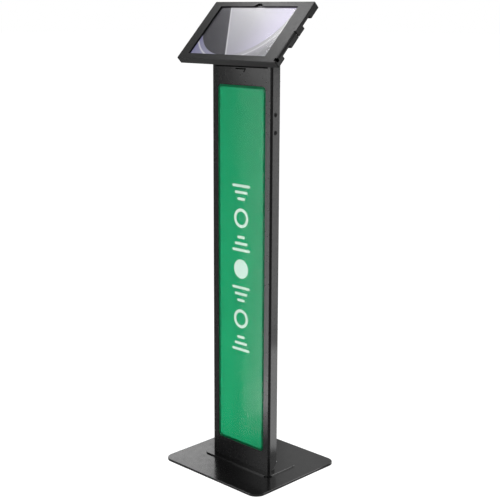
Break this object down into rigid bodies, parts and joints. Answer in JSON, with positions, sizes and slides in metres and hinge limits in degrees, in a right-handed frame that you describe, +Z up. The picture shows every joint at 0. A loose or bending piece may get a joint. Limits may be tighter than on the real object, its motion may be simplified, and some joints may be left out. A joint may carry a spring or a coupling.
{
  "type": "touchscreen kiosk",
  "caption": "Free-standing touchscreen kiosk: flat base plate, slim column with a rounded graphic panel, and a tilted metal enclosure that frames a landscape tablet.",
  "frame": {"origin": "middle of the underside of the floor mat, on the floor", "axes": "+Z up, -Y towards the person who faces the screen, +X to that person's right"},
  "size_m": [0.312, 0.275, 1.0793],
  "materials": {
    "mat_rubber": "matt, fine ribs",
    "base_coat": "smooth satin powder coat",
    "column_coat": "satin powder coat, fine grain",
    "cover_coat": "satin powder coat, fine grain",
    "frame_coat": "fine textured powder coat",
    "inner_steel": "matt black coat",
    "zinc": "bright zinc plate",
    "black_screw": "black oxide",
    "acrylic": "clear, polished edges",
    "print": "plain green print",
    "tape": "thin foam tape",
    "backing": "mill finish",
    "nylon": "natural nylon",
    "hook_steel": "matt black",
    "grommet": "smooth",
    "foam": "closed-cell foam",
    "tablet_shell": "bead blasted",
    "display": "lit screen with an abstract pattern",
    "screen_glass": "polished",
    "lens": "polished",
    "lock_chrome": "polished"
  },
  "bodies": {
    "stand": {"floor_mat": "mat_rubber", "base_plate": "base_coat", "foot_plate": "base_coat", "foot_bolts": "zinc", "post_left": "inner_steel", "post_right": "inner_steel", "column_shell": "column_coat", "rear_cover": "cover_coat", "rear_cover_screws": "black_screw", "side_bolts": "black_screw", "panel_backing": "backing", "panel_tape": "tape", "panel_print": "print", "panel_cover": "acrylic", "cable_clips": "nylon", "head_bracket": "inner_steel", "column_cap": "hook_steel", "locating_hook": "hook_steel", "swivel_washer": "nylon"},
    "head": {"swivel_disc": "zinc", "stop_pin": "zinc", "spring_washer": "zinc", "swivel_nut": "zinc", "swivel_screws": "zinc", "pivot_grommet": "grommet", "back_plate": "frame_coat", "tablet_cradle": "inner_steel", "cradle_spacers": "nylon", "cradle_screws": "black_screw", "foam_pads": "foam", "tablet_body": "tablet_shell", "tablet_display": "display", "tablet_glass": "screen_glass", "tablet_camera": "lens", "lock_body": "lock_chrome", "lock_nut": "zinc", "hinge_fixed_leaf": "inner_steel", "hinge_pin": "zinc", "hinge_fixed_screws": "black_screw"},
    "screen_frame": {"front_frame": "frame_coat", "frame_gasket": "foam", "port_cover": "frame_coat", "port_cover_screws": "black_screw", "latch_keeper": "zinc", "keeper_rivets": "zinc", "hinge_moving_leaf": "inner_steel", "hinge_moving_screws": "black_screw"},
    "lock": {"lock_plug": "lock_chrome", "lock_cam": "zinc", "cam_screw": "zinc"},
    "power_key": {"power_button": "tablet_shell"},
    "volume_key": {"volume_rocker": "tablet_shell"}
  },
  "joints": [
    {"name": "head_rotation", "type": "hinge", "parent": "stand", "child": "head", "pos_m": [0, -0.01145, 1.00602], "axis": [0, -0.7071, 0.7071], "range_deg": [0, 90]},
    {"name": "frame_hinge", "type": "hinge", "parent": "head", "child": "screen_frame", "pos_m": [-0.1536, -0.01039, 1.00496], "axis": [0, -0.7071, -0.7071], "range_deg": [0, 100]},
    {"name": "lock_turn", "type": "hinge", "parent": "head", "child": "lock", "pos_m": [0.1335, -0.01463, 1.0092], "axis": [0, 0.7071, -0.7071], "range_deg": [0, 90]},
    {"name": "power_press", "type": "slide", "parent": "head", "child": "power_key", "axis": [1, 0, 0], "range_m": [0, 0.0004], "stiffness_N_per_m": 2000},
    {"name": "volume_rock", "type": "hinge", "parent": "head", "child": "volume_key", "pos_m": [-0.104, 0.04028, 1.07167], "axis": [0, -0.7071, 0.7071], "range_deg": [-2, 2], "stiffness_Nm_per_rad": 0.5}
  ]
}
